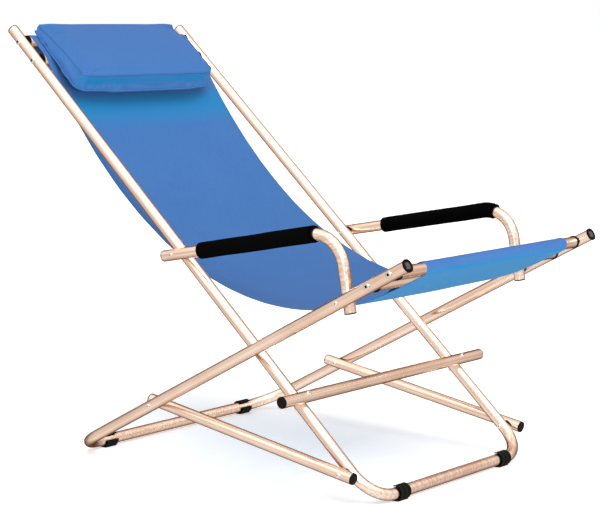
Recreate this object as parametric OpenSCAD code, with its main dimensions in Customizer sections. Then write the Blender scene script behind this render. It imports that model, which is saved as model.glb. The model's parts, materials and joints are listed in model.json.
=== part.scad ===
// Folding beach chair: two crossed U-frames of aluminium tube, two bent armrests and two
// short links make one folding linkage. A fabric sling hangs between two pairs of cross bars.
// X is across the chair (the sitter's right hand is at -X), the chair faces -Y, Z is up.
// The origin is on the floor, under the middle of the chair.

/* [Tubes] */
// Outer diameter of every tube and bar
tube_d = 22; // [18:0.5:26.5]
// Wall of every tube and bar
tube_wall = 1.5; // [1:0.1:2.5]
// Space between two neighbouring layers of tube
layer_gap = 5; // [4:0.5:8]
// Thickness of the plastic end caps
cap_t = 3; // [2:0.5:6]
// Height of the seat frame's cap rims above its tubes
cap_rim = 1.2; // [0:0.2:1.6]
// Length of a cap or plug that sits inside its tube
plug_len = 14; // [8:1:20]

/* [Back frame] */
// Slope of the back frame above the floor, in degrees
back_slope = 41.7; // [39:0.1:45]
// Length from the front floor bar's axis to the ends of the upper caps
back_len = 1248; // [1040:1:1500]
// Centreline radius of the back frame's corners
back_bend_r = 62; // [52:1:75]
// Space between the back frame's corners and the heads of the links' front rivets
link_from_bend = 0.5; // [0.5:0.5:10]
// Place of the cross stretcher along the back frame
stretcher_at = 227; // [189:1:273]
// Length of the cross stretcher past the seat frame's tubes, at each end
stretcher_over = 5; // [3:0.5:12]

/* [Seat frame] */
// Width of the seat frame, between the axes of its tubes
seat_w = 598; // [498:1:718]
// Centreline radius of the seat frame's corners
seat_bend_r = 74; // [62:1:88]
// Slope of the seat frame above the floor, in degrees
seat_slope = 28; // [26:0.1:30]
// Length from the rear floor bar's axis to the ends of the front caps
seat_len = 931; // [776:1:1118]
// Distance between the two floor bars
foot_span = 709; // [640:1:800]
// Distance of the armrests' front pivots from the front end of the seat frame
arm_from_front = 168; // [140:1:202]
// Place of the links' rear pivots along the seat frame
link_on_seat = 244; // [204:1:292]

/* [Fold] */
// Space between the rear floor bar and the back frame when folded
fold_rear_clear = 5.5; // [5:0.1:8]
// Space between the inner seat bar and the back frame's tubes when folded
fold_front_clear = 23; // [18:1:30]

/* [Cross bars] */
// Distance of the outer cross bar from the end of the back frame
head_bar_inset = 39; // [32:1:47]
// Distance between the two head bars
head_bar_pitch = 55; // [46:1:66]
// Distance of the outer cross bar from the end of the seat frame
seat_bar_inset = 37; // [31:1:45]
// Distance between the two seat bars
seat_bar_pitch = 53; // [45:1:64]
// Thickness of the plastic rings between the cross bars and the side tubes
spacer_t = 3; // [2:0.5:5]
// Height of these rings above their bars
spacer_rim = 1.5; // [0:0.5:2.5]

/* [Armrests] */
// Rise of the armrests towards the front, in degrees
arm_rise = 10.7; // [8:0.1:14]
// Centreline radius of the armrests' corner
arm_bend_r = 62; // [52:1:75]
// Length of the armrests past the rear pivot, with the cap
arm_over = 27.5; // [23:0.5:33]
// Length of the armrests' legs past the front pivot, with the cap
leg_over = 23.5; // [20:0.5:28.5]
// Distance from the rear pivot to the right foam grip
grip_from = 71; // [59:1:85]
// Distance by which the left grip has slid further forward
grip_slide = 20; // [0:1:24]
// Length of the foam grips
grip_len = 279; // [232:1:300]
// Space between a grip and the tubes beside its armrest
grip_clear = 0.3; // [0.1:0.1:1.5]

/* [Links] */
// Length of the links past each pivot, with the cap
link_over = 29; // [24:0.5:35]

/* [Fasteners] */
// Diameter of the rivets and bolts
pin_d = 6; // [5:0.5:7]
// Clearance on diameter round a rivet, bolt or plug
fit = 0.1; // [0.04:0.02:0.2]
// Diameter of a rivet's heads
rivet_head_d = 10; // [8.5:0.5:12]
// Height of a rivet's heads
rivet_head_h = 2.2; // [1.6:0.2:3]
// Diameter of a bolt's head
bolt_head_d = 12.5; // [10.5:0.5:14]
// Height of a bolt's head
bolt_head_h = 3; // [2:0.2:3.8]
// Diameter of the pivot washers
washer_d = 16; // [13:0.5:19]

/* [Floor clips] */
// Width of a floor clip along its bar
clip_w = 31; // [26:1:37]
// Thickness of a clip's ring and of the pad under it
clip_t = 3.5; // [2.5:0.1:4.5]
// Width of a clip's mouth, which opens towards the inside of its frame
clip_mouth = 10; // [7:0.5:14]

/* [Soft goods] */
// Width of the sling and its sleeves
sling_w = 458; // [382:1:460]
// Thickness of the sling cloth
cloth_t = 2; // [1.5:0.1:3]
// Angle between the sling and the back frame where it leaves the head bar
sling_leave = 16.8; // [12:0.1:22]
// Reach of the sling's curve from the head bar and from the seat bar
head_reach = 470; // [400:5:560]
// Reach of the sling's curve from the seat bar
seat_reach = 330; // [280:5:390]
// Clearance of the cloth round the bars
cloth_clear = 0.3; // [0.2:0.05:0.6]
// Width of the head pillow
pillow_w = 430; // [360:1:460]
// Length of the head pillow
pillow_len = 190; // [160:1:220]
// Thickness of the head pillow at its lower edge
pillow_t = 34; // [28:1:40]

/* [Hidden] */
$fn = 48;

metal = [0.86, 0.80, 0.75];
black = [0.10, 0.10, 0.11];
steel = [0.70, 0.70, 0.72];
blue = [0.22, 0.40, 0.70];

tube_r = tube_d / 2;
bore_d = tube_d - 2 * tube_wall;
hole_d = pin_d + fit;
plug_d = bore_d - fit;
layer = tube_d + layer_gap;
grip_d = tube_d + 2 * (layer_gap - grip_clear);
seat_x = seat_w / 2;
arm_x = seat_x - layer;
back_x = arm_x - layer;
bar_z = tube_r + clip_t;
// Width of the flat pad under a clip, and the clip's distance from the bend beside it
clip_pad = 1.3 * tube_r;
clip_gap = 3;

// The depth of both floor bars, with the whole chair centred on the origin
chair_rear = back_len * cos(back_slope) + tube_r * sin(back_slope);
chair_front = foot_span - seat_len * cos(seat_slope) - tube_r * sin(seat_slope);
front_bar_y = -(chair_rear + chair_front) / 2;
rear_bar_y = front_bar_y + foot_span;

// Side view: a point (depth, height) at a distance along a frame and an offset above it
function on_back(s, o = 0) = [front_bar_y + s * cos(back_slope) - o * sin(back_slope),
    bar_z + s * sin(back_slope) + o * cos(back_slope)];
function on_seat(s, o = 0) = [rear_bar_y - s * cos(seat_slope) + o * sin(seat_slope),
    bar_z + s * sin(seat_slope) + o * cos(seat_slope)];
function turned(v, a) = [v.x * cos(a) - v.y * sin(a), v.x * sin(a) + v.y * cos(a)];
function unit(v) = v / norm(v);
function cross2(a, b) = a.x * b.y - a.y * b.x;

link_on_back = back_bend_r + rivet_head_d / 2 + link_from_bend;
arm_on_seat = seat_len - arm_from_front;
head_bar_at = [back_len - head_bar_inset, back_len - head_bar_inset - head_bar_pitch];
seat_bar_at = [seat_len - seat_bar_inset, seat_len - seat_bar_inset - seat_bar_pitch];
link_front = on_back(link_on_back);
link_rear = on_seat(link_on_seat);
link_dir = unit(link_rear - link_front);
arm_front = on_seat(arm_on_seat);

// Folded, the seat frame lies along the back frame: its rear bar behind, its seat bars before.
// All in the back frame's own axes (along, offset).
fold_rear = -(tube_d + fold_rear_clear);
fold_front = tube_d + fold_front_clear;
fold_tilt = asin((fold_front - fold_rear) / seat_bar_at[1]);
fold_link_o = fold_rear + link_on_seat * sin(fold_tilt);
link_len = norm(link_rear - link_front);
fold_bar_s = link_on_back + sqrt(link_len * link_len - fold_link_o * fold_link_o)
    - link_on_seat * cos(fold_tilt);
fold_arm = [fold_bar_s + arm_on_seat * cos(fold_tilt), fold_rear + arm_on_seat * sin(fold_tilt)];

// The armrests' rear pivot is the one point of the back frame that is as far from the
// front pivot open as it is folded.
arm_reach = arm_front - on_back(0);
arm_foot = arm_reach * (on_back(1) - on_back(0));
arm_on_back = (fold_arm * fold_arm - arm_reach * arm_reach) / (2 * (fold_arm.x - arm_foot));
arm_rear = on_back(arm_on_back);

// The armrest's corner is where its rest and its leg meet, at a right angle
rest_dir = [-cos(arm_rise), sin(arm_rise)];
leg_dir = turned(rest_dir, 90);
rest_len = cross2(arm_front - arm_rear, leg_dir) / cross2(rest_dir, leg_dir);
corner = arm_rear + rest_len * rest_dir;
leg_len = norm(arm_front - corner);

sleeve_in = tube_r + cloth_clear;
sleeve_out = sleeve_in + cloth_t;
sleeve_mid = sleeve_in + cloth_t / 2;
// The sling's curve: it leaves the lower head bar in front and the rear seat bar underneath
sling_top_dir = turned([-cos(back_slope), -sin(back_slope)], sling_leave);
sling_low_dir = [cos(seat_slope), -sin(seat_slope)];
sling_top = on_back(head_bar_at[1]) + sleeve_mid * turned(sling_top_dir, -90);
sling_low = on_seat(seat_bar_at[1], -sleeve_mid);
sling_curve = [sling_top, sling_top + head_reach * sling_top_dir,
    sling_low + seat_reach * sling_low_dir, sling_low];
sling_steps = 28;
// Distance by which the sling's ends stay off the sleeves
sling_off = 8;
sling_from = sling_off / (3 * head_reach);
sling_to = 1 - sling_off / (3 * seat_reach);

function bezier(c, t) = pow(1 - t, 3) * c[0] + 3 * t * pow(1 - t, 2) * c[1]
    + 3 * t * t * (1 - t) * c[2] + pow(t, 3) * c[3];
function bezier_dir(c, t) = unit(pow(1 - t, 2) * (c[1] - c[0]) + 2 * t * (1 - t) * (c[2] - c[1])
    + t * t * (c[3] - c[2]));
function sling_side(t, o) = bezier(sling_curve, t) + o * turned(bezier_dir(sling_curve, t), 90);
function sling_step(i) = sling_from + (sling_to - sling_from) * i / sling_steps;

// ---- places and shared shapes

// Stands a side-view drawing upright at a distance from the chair's middle
module side_view(x) translate([x, 0, 0]) rotate([90, 0, 90]) children();

module both_sides() for (flip = [0, 1]) mirror([flip, 0, 0]) children();

module at_back() translate([0, front_bar_y, bar_z]) rotate([back_slope, 0, 0]) children();

module at_seat() translate([0, rear_bar_y, bar_z]) rotate([180 - seat_slope, 0, 0]) children();

module x_rod(d, x0, x1) translate([x0, 0, 0]) rotate([0, 90, 0]) cylinder(d = d, h = x1 - x0);

// A straight rod between two points of the side view
module rod(p, q, d)
    translate(p) rotate([0, 0, atan2(q.y - p.y, q.x - p.x)]) rotate([0, 90, 0])
        cylinder(d = d, h = norm(q - p));

module dome(d, h) {
    r = (d * d / 4 + h * h) / (2 * h);
    intersection() {
        translate([0, 0, h - r]) sphere(r = r);
        cylinder(d = d + 1, h = h);
    }
}

// A rivet along Z from z0 to z1, with the heads asked for
module rivet(z0, z1, low_head = true, high_head = true) {
    translate([0, 0, z0]) cylinder(d = pin_d, h = z1 - z0);
    if (low_head) translate([0, 0, z0]) mirror([0, 0, 1]) dome(rivet_head_d, rivet_head_h);
    if (high_head) translate([0, 0, z1]) dome(rivet_head_d, rivet_head_h);
}

// A bolt along Z from z0 to z1, with its head at z1
module bolt(z0, z1) {
    translate([0, 0, z0]) cylinder(d = pin_d, h = z1 - z0);
    translate([0, 0, z1]) dome(bolt_head_d, bolt_head_h);
}

module ring(d_out, d_in, h) difference() {
    cylinder(d = d_out, h = h);
    translate([0, 0, -1]) cylinder(d = d_in, h = h + 2);
}

// A cap on the end of a tube that points along +Z, its outer face at the origin
module tube_cap(rim = 0) {
    translate([0, 0, -cap_t]) cylinder(d = tube_d + 2 * rim, h = cap_t - 1);
    translate([0, 0, -1]) dome(tube_d + 2 * rim, 1);
    translate([0, 0, -cap_t - plug_len]) cylinder(d = plug_d, h = plug_len);
}

module cap_at(p, dir) translate(p) rotate([0, 0, atan2(dir.y, dir.x)]) rotate([0, 90, 0]) tube_cap();

// The line of a U-frame: floor bar along X, sides along +Y
module u_line(x, r, len, d, past = 0) {
    x_rod(d, r - x, x - r);
    for (side = [-1, 1]) {
        translate([side * x, r, 0]) rotate([-90, 0, 0]) cylinder(d = d, h = len - r + past);
        translate([side * (x - r), r, 0]) rotate([0, 0, side > 0 ? -90 : 180])
            rotate_extrude(angle = 90) translate([r, 0]) circle(d = d);
    }
}

module u_frame(x, r, len, holes_at) difference() {
    u_line(x, r, len - cap_t, tube_d);
    u_line(x, r, len - cap_t, bore_d, past = 1);
    for (s = holes_at, side = [-1, 1])
        translate([0, s, 0]) x_rod(hole_d, side * x - tube_r - 1, side * x + tube_r + 1);
}

module cross_bar(x) {
    half = x - tube_r - spacer_t;
    difference() {
        x_rod(tube_d, -half, half);
        x_rod(bore_d, -half - 1, half + 1);
    }
}

// Threaded plugs in the ends of a cross bar
module bar_plugs(x) both_sides() translate([x - tube_r - spacer_t, 0, 0]) rotate([0, -90, 0])
    ring(plug_d, hole_d, plug_len + pin_d);

module bar_spacers(x) both_sides() translate([x - tube_r - spacer_t, 0, 0]) rotate([0, 90, 0])
    ring(tube_d + 2 * spacer_rim, hole_d, spacer_t);

module bar_bolts(x) both_sides() rotate([0, 90, 0])
    bolt(x - tube_r - spacer_t - plug_len, x + tube_r);

// A clip in the side view, with its bar's axis at the origin. mouth_dir is its mouth's direction.
module floor_clip(mouth_dir) difference() {
    union() {
        cylinder(d = tube_d + 2 * clip_t, h = clip_w);
        translate([-clip_pad / 2, -bar_z, 0]) cube([clip_pad, bar_z / 2, clip_w]);
    }
    translate([0, 0, -1]) cylinder(d = tube_d + fit, h = clip_w + 2);
    rotate([0, 0, mouth_dir]) translate([0, -clip_mouth / 2, -1])
        cube([tube_d, clip_mouth, clip_w + 2]);
}

module floor_clips(x, r, y, mouth_dir) both_sides() side_view(x - r - clip_w - clip_gap)
    translate([y, bar_z]) floor_clip(mouth_dir);

// An armrest's own axes: the corner's bend starts at the origin, and the rest comes along +X
module at_arm_bend() translate(corner - arm_bend_r * rest_dir) rotate([0, 0, 180 - arm_rise])
    children();

// The last part of an armrest's rest, before the bend
module arm_rest(d, len) translate([-len, 0, 0]) rotate([0, 90, 0]) cylinder(d = d, h = len);

// The first part of an armrest's bend
module arm_bend(d, turn) translate([0, arm_bend_r, 0]) rotate([0, 0, -90])
    rotate_extrude(angle = turn) translate([arm_bend_r, 0]) circle(d = d);

// The line of one armrest, from the rear end to the foot of its leg
module arm_line(d, past = 0) at_arm_bend() {
    arm_rest(d, rest_len - arm_bend_r + arm_over - cap_t + past);
    arm_bend(d, 90);
    translate([arm_bend_r, arm_bend_r, 0]) rotate([-90, 0, 0])
        cylinder(d = d, h = leg_len - arm_bend_r + leg_over - cap_t + past);
}

module cross_hole(p) translate([p.x, p.y, -tube_d]) cylinder(d = hole_d, h = 2 * tube_d);

module washer() translate([0, 0, fit]) ring(washer_d, hole_d, layer_gap - 2 * fit);

// A sleeve of cloth round two cross bars at distances a and b along a frame
module sleeve_outline(a, b, r) {
    translate([a, 0]) circle(r = r);
    translate([b, 0]) circle(r = r);
    translate([b, -r]) square([a - b, 2 * r]);
}

module sleeve(at) side_view(-sling_w / 2) linear_extrude(sling_w) difference() {
    sleeve_outline(at[0], at[1], sleeve_out);
    sleeve_outline(at[0], at[1], sleeve_in);
}

// ---- back frame and what is fixed to it

module back_frame() color(metal) at_back() difference() {
    u_frame(back_x, back_bend_r, back_len, [link_on_back, arm_on_back, head_bar_at[0], head_bar_at[1]]);
    for (side = [-1, 1])
        translate([side * back_x, stretcher_at, -tube_d]) cylinder(d = hole_d, h = 2 * tube_d);
}

module back_frame_caps() color(black) at_back() both_sides()
    translate([back_x, back_len, 0]) rotate([-90, 0, 0]) tube_cap();

module head_bar_upper() color(metal) at_back() translate([0, head_bar_at[0], 0]) cross_bar(back_x);

module head_bar_lower() color(metal) at_back() translate([0, head_bar_at[1], 0]) cross_bar(back_x);

module head_bar_plugs() color(black) at_back() for (s = head_bar_at)
    translate([0, s, 0]) bar_plugs(back_x);

module head_bar_spacers() color(black) at_back() for (s = head_bar_at)
    translate([0, s, 0]) bar_spacers(back_x);

module head_bar_bolts() color(steel) at_back() for (s = head_bar_at)
    translate([0, s, 0]) bar_bolts(back_x);

stretcher_half = seat_x + tube_r + stretcher_over;

module cross_stretcher() color(metal) at_back() translate([0, stretcher_at, tube_d]) difference() {
    x_rod(tube_d, cap_t - stretcher_half, stretcher_half - cap_t);
    x_rod(bore_d, -stretcher_half, stretcher_half);
    for (side = [-1, 1])
        translate([side * back_x, 0, -tube_d]) cylinder(d = hole_d, h = 2 * tube_d);
}

module stretcher_caps() color(black) at_back() translate([0, stretcher_at, tube_d]) both_sides()
    translate([stretcher_half, 0, 0]) rotate([0, 90, 0]) tube_cap();

module stretcher_rivets() color(steel) at_back() both_sides()
    translate([back_x, stretcher_at, 0]) rivet(-tube_r, tube_d + tube_r);

module front_foot_clips() color(black) floor_clips(back_x, back_bend_r, front_bar_y, back_slope);

module arm_pivot_rivets() color(steel) both_sides() side_view(back_x) translate(arm_rear)
    rivet(-tube_r, layer + tube_r);

module arm_pivot_washers() color(black) both_sides() side_view(back_x + tube_r)
    translate(arm_rear) washer();

module link_pivot_rivets() color(steel) both_sides() side_view(back_x) translate(link_front)
    rivet(-tube_r, layer + tube_r);

module link_pivot_washers() color(black) both_sides() side_view(back_x + tube_r)
    translate(link_front) washer();

// ---- seat frame and what is fixed to it

module seat_frame() color(metal) at_seat()
    u_frame(seat_x, seat_bend_r, seat_len, [link_on_seat, arm_on_seat, seat_bar_at[0], seat_bar_at[1]]);

module seat_frame_caps() color(black) at_seat() both_sides()
    translate([seat_x, seat_len, 0]) rotate([-90, 0, 0]) tube_cap(cap_rim);

module seat_bar_front() color(metal) at_seat() translate([0, seat_bar_at[0], 0]) cross_bar(seat_x);

module seat_bar_rear() color(metal) at_seat() translate([0, seat_bar_at[1], 0]) cross_bar(seat_x);

module seat_bar_plugs() color(black) at_seat() for (s = seat_bar_at)
    translate([0, s, 0]) bar_plugs(seat_x);

module seat_bar_spacers() color(black) at_seat() for (s = seat_bar_at)
    translate([0, s, 0]) bar_spacers(seat_x);

module seat_bar_bolts() color(steel) at_seat() for (s = seat_bar_at)
    translate([0, s, 0]) bar_bolts(seat_x);

module rear_foot_clips() color(black) floor_clips(seat_x, seat_bend_r, rear_bar_y, 180 - seat_slope);

module seat_pivot_rivets() color(steel) both_sides() side_view(arm_x) translate(arm_front)
    rivet(-tube_r, layer + tube_r);

module seat_pivot_washers() color(black) both_sides() side_view(arm_x + tube_r)
    translate(arm_front) washer();

// The half of the links' rear rivets that sits in the seat frame
module link_rear_rivets() color(steel) both_sides() side_view(seat_x) translate(link_rear)
    rivet(-tube_r + fit, tube_r, low_head = false);

// ---- armrests and links, drawn once for the left hand (+X) and mirrored for the right

module arm() color(metal) side_view(arm_x) difference() {
    arm_line(tube_d);
    arm_line(bore_d, past = 1);
    cross_hole(arm_rear);
    cross_hole(arm_front);
}

// The line of a foam grip, which may run into the armrest's corner
module grip_line(from, d, past = 0) at_arm_bend() {
    straight = rest_len - arm_bend_r - from;
    turn = (grip_len - straight + past) / arm_bend_r * 180 / PI;
    if (turn > 0) {
        arm_rest(d, straight + past);
        arm_bend(d, turn);
    } else translate([turn / 180 * PI * arm_bend_r, 0, 0]) arm_rest(d, grip_len + 2 * past);
}

module arm_grip(from) color(black) side_view(arm_x) difference() {
    grip_line(from, grip_d);
    grip_line(from, tube_d + fit, past = 1);
}

module arm_caps() color(black) side_view(arm_x) {
    cap_at(arm_rear - arm_over * rest_dir, -rest_dir);
    cap_at(arm_front + leg_over * leg_dir, leg_dir);
}

module link() color(metal) side_view(arm_x) difference() {
    rod(link_front - (link_over - cap_t) * link_dir, link_rear + (link_over - cap_t) * link_dir, tube_d);
    rod(link_front - link_over * link_dir, link_rear + link_over * link_dir, bore_d);
    cross_hole(link_front);
    cross_hole(link_rear);
}

module link_caps() color(black) side_view(arm_x) {
    cap_at(link_front - link_over * link_dir, -link_dir);
    cap_at(link_rear + link_over * link_dir, link_dir);
}

// The half of a link's rear rivet that sits in the link and its washer
module link_stud() color(steel) side_view(arm_x) translate(link_rear)
    rivet(-tube_r, tube_r + layer_gap - fit, high_head = false);

module link_washer() color(black) side_view(arm_x + tube_r) translate(link_rear) washer();

module arm_left() arm();
module arm_right() mirror([1, 0, 0]) arm();
module arm_grip_left() arm_grip(grip_from + grip_slide);
module arm_grip_right() mirror([1, 0, 0]) arm_grip(grip_from);
module arm_caps_left() arm_caps();
module arm_caps_right() mirror([1, 0, 0]) arm_caps();
module link_left() link();
module link_right() mirror([1, 0, 0]) link();
module link_caps_left() link_caps();
module link_caps_right() mirror([1, 0, 0]) link_caps();
module link_stud_left() link_stud();
module link_stud_right() mirror([1, 0, 0]) link_stud();
module link_washer_left() link_washer();
module link_washer_right() mirror([1, 0, 0]) link_washer();

// ---- soft goods

module head_sleeve() color(blue) at_back() sleeve(head_bar_at);

module seat_sleeve() color(blue) at_seat() sleeve(seat_bar_at);

module sling() color(blue) side_view(-sling_w / 2) linear_extrude(sling_w) polygon(concat(
    [for (i = [0:sling_steps]) sling_side(sling_step(i), cloth_t / 2)],
    [for (i = [sling_steps:-1:0]) sling_side(sling_step(i), -cloth_t / 2)]));

// The pillow lies on the head sleeve, thick at its lower edge and thin at its upper one
module pillow() color(blue) at_back() side_view(-pillow_w / 2)
    translate([back_len - 12 - pillow_len, sleeve_out + cloth_clear]) linear_extrude(pillow_w)
        polygon([[4, 0], [pillow_len - 16, 0], [pillow_len, 0.26 * pillow_t],
            [pillow_len - 4, 0.44 * pillow_t], [0.55 * pillow_len, 0.86 * pillow_t],
            [0.18 * pillow_len, pillow_t], [0.05 * pillow_len, 0.88 * pillow_t], [0, 0.4 * pillow_t]]);

back_frame();
back_frame_caps();
head_bar_upper();
head_bar_lower();
head_bar_plugs();
head_bar_spacers();
head_bar_bolts();
cross_stretcher();
stretcher_caps();
stretcher_rivets();
front_foot_clips();
arm_pivot_rivets();
arm_pivot_washers();
link_pivot_rivets();
link_pivot_washers();
seat_frame();
seat_frame_caps();
seat_bar_front();
seat_bar_rear();
seat_bar_plugs();
seat_bar_spacers();
seat_bar_bolts();
rear_foot_clips();
seat_pivot_rivets();
seat_pivot_washers();
link_rear_rivets();
arm_right();
arm_left();
arm_grip_right();
arm_grip_left();
arm_caps_right();
arm_caps_left();
link_right();
link_left();
link_caps_right();
link_caps_left();
link_stud_right();
link_stud_left();
link_washer_right();
link_washer_left();
head_sleeve();
sling();
seat_sleeve();
pillow();
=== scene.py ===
# Folding beach chair: looks, soft goods, camera and light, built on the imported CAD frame.
# Metres, +Z up. The chair faces -Y, and the sitter's right hand is at -X.
import json
import math

import bpy
from mathutils import Matrix, Vector, noise


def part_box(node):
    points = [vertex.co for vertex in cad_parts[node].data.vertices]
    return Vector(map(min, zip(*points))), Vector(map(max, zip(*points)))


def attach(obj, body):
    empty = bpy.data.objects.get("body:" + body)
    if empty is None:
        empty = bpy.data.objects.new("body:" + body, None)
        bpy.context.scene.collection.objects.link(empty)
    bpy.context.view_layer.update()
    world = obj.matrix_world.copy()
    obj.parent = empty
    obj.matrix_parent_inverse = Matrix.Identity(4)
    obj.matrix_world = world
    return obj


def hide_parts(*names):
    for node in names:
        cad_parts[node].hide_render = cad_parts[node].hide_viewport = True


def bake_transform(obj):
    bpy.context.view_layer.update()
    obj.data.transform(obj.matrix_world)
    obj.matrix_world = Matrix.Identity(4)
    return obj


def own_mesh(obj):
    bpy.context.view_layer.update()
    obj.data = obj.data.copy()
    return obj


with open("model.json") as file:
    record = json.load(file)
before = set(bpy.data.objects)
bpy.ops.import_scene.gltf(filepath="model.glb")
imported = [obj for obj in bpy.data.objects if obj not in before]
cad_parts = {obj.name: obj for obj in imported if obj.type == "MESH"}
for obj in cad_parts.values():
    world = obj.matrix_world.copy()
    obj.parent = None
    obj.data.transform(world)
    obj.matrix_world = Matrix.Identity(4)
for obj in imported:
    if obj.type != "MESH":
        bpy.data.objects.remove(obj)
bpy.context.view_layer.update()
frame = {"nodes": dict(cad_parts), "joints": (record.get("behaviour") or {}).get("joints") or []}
scene = bpy.context.scene
nodes = frame["nodes"]
joints = {j["name"]: j for j in frame["joints"]}
bpy.ops.object.select_all(action="DESELECT")
print("frame loaded:", len(nodes), "nodes")


# Places are worked out from the frame. A side-view point is (y, z).

def sideCentre(node):
    low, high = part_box(node)
    mid = (low + high) / 2
    return Vector((mid.y, mid.z))


def turned(v, angle):
    c, s = math.cos(angle), math.sin(angle)
    return Vector((v.x * c - v.y * s, v.x * s + v.y * c))


def at(x, p):
    return Vector((x, p.x, p.y))


tube = {"radius": 0.011}
headUpper = sideCentre("head_bar_upper")
headLower = sideCentre("head_bar_lower")
seatFront = sideCentre("seat_bar_front")
seatRear = sideCentre("seat_bar_rear")
backDir = (headUpper - headLower).normalized()   # up the back frame
backOut = turned(backDir, math.pi / 2)           # from the back frame towards the sitter
seatDir = (seatFront - seatRear).normalized()    # up and forward along the seat frame
seatUp = turned(seatDir, -math.pi / 2)           # from the seat frame towards the sitter
armRear = Vector(joints["fold"]["pos_m"][1:])
armFront = Vector(joints["seat_tilt"]["pos_m"][1:])
linkFront = Vector(joints["link_left_swing"]["pos_m"][1:])
frontBar = sideCentre("front_foot_clips").x
rearBar = sideCentre("rear_foot_clips").x
linkRear = sideCentre("link_washer_left")
linkDir = (linkRear - linkFront).normalized()
armrest = {"rise": math.radians(10.7), "bend": 0.062, "layer": 0.272}
restDir = Vector((-math.cos(armrest["rise"]), math.sin(armrest["rise"])))
legDir = turned(restDir, math.pi / 2)


# Small helpers for modelling

def deselect():
    bpy.ops.object.select_all(action="DESELECT")


def named(name):
    piece = bpy.context.object
    piece.name = name
    piece.data.name = name
    return piece


def activate(piece):
    deselect()
    piece.select_set(True)
    bpy.context.view_layer.objects.active = piece


def modified(piece, kind, **settings):
    activate(piece)
    modifier = piece.modifiers.new(kind, kind)
    for key, value in settings.items():
        setattr(modifier, key, value)
    bpy.ops.object.modifier_apply(modifier=modifier.name)
    return piece


def smooth(piece, angle=40):
    activate(piece)
    bpy.ops.object.shade_smooth_by_angle(angle=math.radians(angle), keep_sharp_edges=True)
    return piece


def pickFaces(piece, test):
    # selects faces of the active piece in edit mode by a test of the face
    bpy.ops.object.mode_set(mode="OBJECT")
    for part in (piece.data.vertices, piece.data.edges, piece.data.polygons):
        part.foreach_set("select", [False] * len(part))
    for face in piece.data.polygons:
        face.select = test(face)
    bpy.ops.object.mode_set(mode="EDIT")
    bpy.ops.mesh.select_mode(type="FACE")


def editing(piece):
    activate(piece)
    bpy.ops.object.mode_set(mode="EDIT")
    bpy.ops.mesh.select_mode(type="VERT")


def done(piece):
    bpy.ops.object.mode_set(mode="OBJECT")
    return piece


def tidyNormals(piece):
    editing(piece)
    bpy.ops.mesh.select_all(action="SELECT")
    bpy.ops.mesh.remove_doubles(threshold=0.00001)
    bpy.ops.mesh.normals_make_consistent(inside=False)
    return done(piece)


def placed(piece, matrix):
    # puts a piece that was modelled round the origin into its place, in its mesh
    activate(piece)
    piece.matrix_world = matrix
    bpy.ops.object.transform_apply(location=True, rotation=True, scale=True)
    return piece


def copied(piece, name, matrix):
    twin = piece.copy()
    twin.data = piece.data.copy()
    twin.name = name
    twin.data.name = name
    scene.collection.objects.link(twin)
    twin.data.transform(matrix)
    if matrix.determinant() < 0:
        twin.data.flip_normals()
    return twin


def joined(pieces, name):
    activate(pieces[0])
    for piece in pieces[1:]:
        piece.select_set(True)
    if len(pieces) > 1:
        bpy.ops.object.join()
    return named(name)


def facing(origin, z, x=Vector((1, 0, 0))):
    # a place whose own +Z looks along z
    z = z.normalized()
    y = z.cross(x).normalized()
    x = y.cross(z)
    place = Matrix((x, y, z)).transposed().to_4x4()
    place.translation = origin
    return place


def dressed(piece, material):
    piece.data.materials.clear()
    piece.data.materials.append(material)
    return piece


# Materials: sockets that do sums, and one helper that adds a node

class Wire:
    def __init__(self, finish, socket):
        self.finish = finish
        self.socket = socket

    def sum(self, operation, *others):
        return self.finish.node("ShaderNodeMath", {"operation": operation}, [self, *others])

    def __add__(self, other):
        return self.sum("ADD", other)

    def __radd__(self, other):
        return self.sum("ADD", other)

    def __sub__(self, other):
        return self.sum("SUBTRACT", other)

    def __rsub__(self, other):
        return self.finish.node("ShaderNodeMath", {"operation": "SUBTRACT"}, [other, self])

    def __mul__(self, other):
        return self.sum("MULTIPLY", other)

    def __rmul__(self, other):
        return self.sum("MULTIPLY", other)

    def sin(self):
        return self.sum("SINE")

    def abs(self):
        return self.sum("ABSOLUTE")

    def floor(self):
        return self.sum("FLOOR")

    def max(self, other):
        return self.sum("MAXIMUM", other)

    def ramp(self, low, high):
        # 0 at low, 1 at high, smooth between
        return self.finish.node("ShaderNodeMapRange", {"interpolation_type": "SMOOTHSTEP"},
                                {"Value": self, "From Min": low, "From Max": high}, "Result")


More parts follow.
